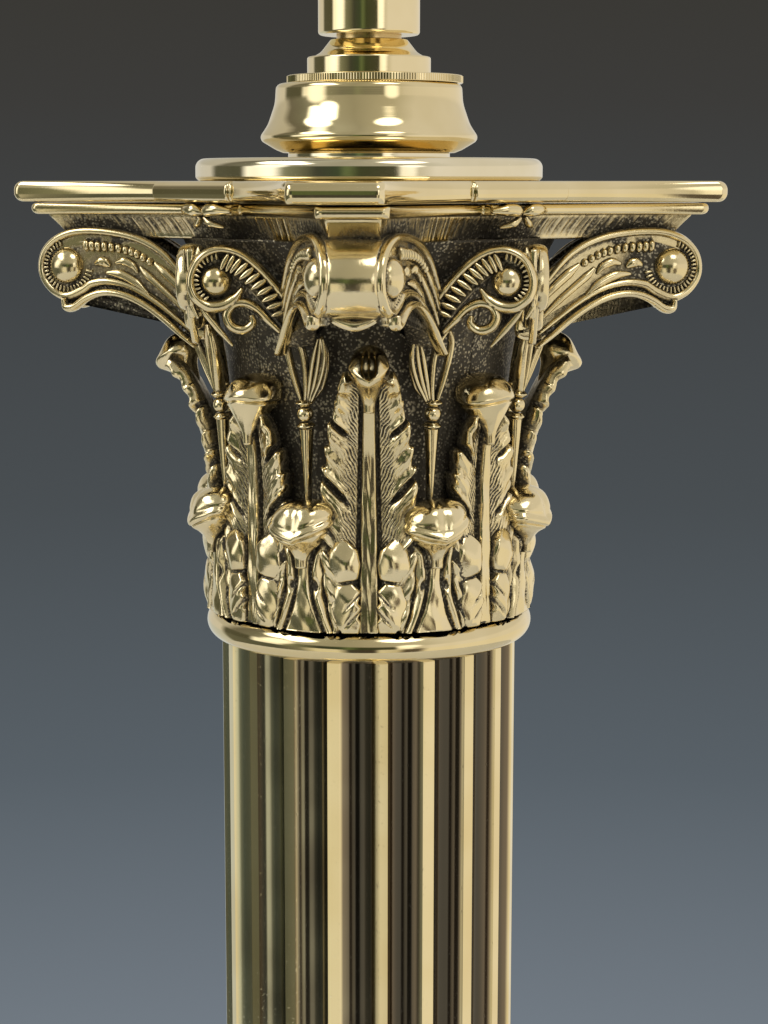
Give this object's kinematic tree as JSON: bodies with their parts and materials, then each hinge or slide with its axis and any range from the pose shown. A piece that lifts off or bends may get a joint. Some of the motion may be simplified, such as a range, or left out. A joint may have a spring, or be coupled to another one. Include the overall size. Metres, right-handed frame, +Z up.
{
  "type": "column table lamp",
  "caption": "Brass table lamp shaped as a fluted column on a stepped square plinth, with an acanthus leaf capital, a round spun cap and a switched bayonet lampholder.",
  "frame": {"origin": "centre of the underside of the baize pad, on the table under the column's axis", "axes": "+Z up along the column; the plinth's sides face X and Y; the lead's inlet faces +Y"},
  "size_m": [0.15, 0.15, 0.492],
  "materials": {
    "polished_brass": "polished and lacquered",
    "antiqued_brass": "polished on the high parts, dark patina in the hollows",
    "contact_brass": "plain turned",
    "aged_tube_brass": "threaded, dull",
    "dark_insulator": "moulded, satin",
    "green_baize": "wool baize",
    "black_iron": "rough cast, painted",
    "plated_steel": "zinc plated",
    "spring_steel": "drawn wire"
  },
  "bodies": {
    "lamp": {"plinth_casting": "polished_brass", "base_ring": "polished_brass", "fluted_shaft": "polished_brass", "bead_collar": "polished_brass", "capital_casting": "antiqued_brass", "abacus_plate": "polished_brass", "round_moulding": "polished_brass", "spun_cap": "polished_brass", "stepped_collar": "polished_brass", "holder_cap": "polished_brass", "holder_skirt": "polished_brass", "locking_ring": "polished_brass", "cable_inlet_bush": "polished_brass", "terminal_screws": "contact_brass", "insulator_core": "dark_insulator", "baize_pad": "green_baize", "ballast_weight": "black_iron", "bottom_plate": "plated_steel", "bottom_plate_screws": "plated_steel", "lower_washer": "plated_steel", "lower_nut": "plated_steel", "upper_washer": "plated_steel", "upper_nut": "plated_steel", "threaded_tube": "aged_tube_brass", "plunger_spring_left": "spring_steel", "plunger_spring_right": "spring_steel"},
    "milled_ring": {"milled_ring": "polished_brass"},
    "shade_ring": {"shade_ring": "polished_brass"},
    "switch": {"switch_bar": "dark_insulator", "switch_bridge": "contact_brass"},
    "plunger_left": {"plunger_left": "contact_brass"},
    "plunger_right": {"plunger_right": "contact_brass"}
  },
  "joints": [
    {"name": "milled_ring_turn", "type": "hinge", "parent": "lamp", "child": "milled_ring", "pos_m": [0.00061, 0.00067, 0.4153], "axis": [0, 0, 1], "continuous": true},
    {"name": "shade_ring_turn", "type": "hinge", "parent": "lamp", "child": "shade_ring", "pos_m": [0, 0, 0.4745], "axis": [0, 0, 1], "continuous": true},
    {"name": "switch_push", "type": "slide", "parent": "lamp", "child": "switch", "axis": [1, 0, 0], "range_m": [-0.005, 0]},
    {"name": "plunger_left_press", "type": "slide", "parent": "lamp", "child": "plunger_left", "axis": [0, 0, 1], "range_m": [-0.003, 0], "stiffness_N_per_m": 800, "springref_m": 0.002, "deforming": ["plunger_spring_left"]},
    {"name": "plunger_right_press", "type": "slide", "parent": "lamp", "child": "plunger_right", "axis": [0, 0, 1], "range_m": [-0.003, 0], "stiffness_N_per_m": 800, "springref_m": 0.002, "deforming": ["plunger_spring_right"]}
  ]
}
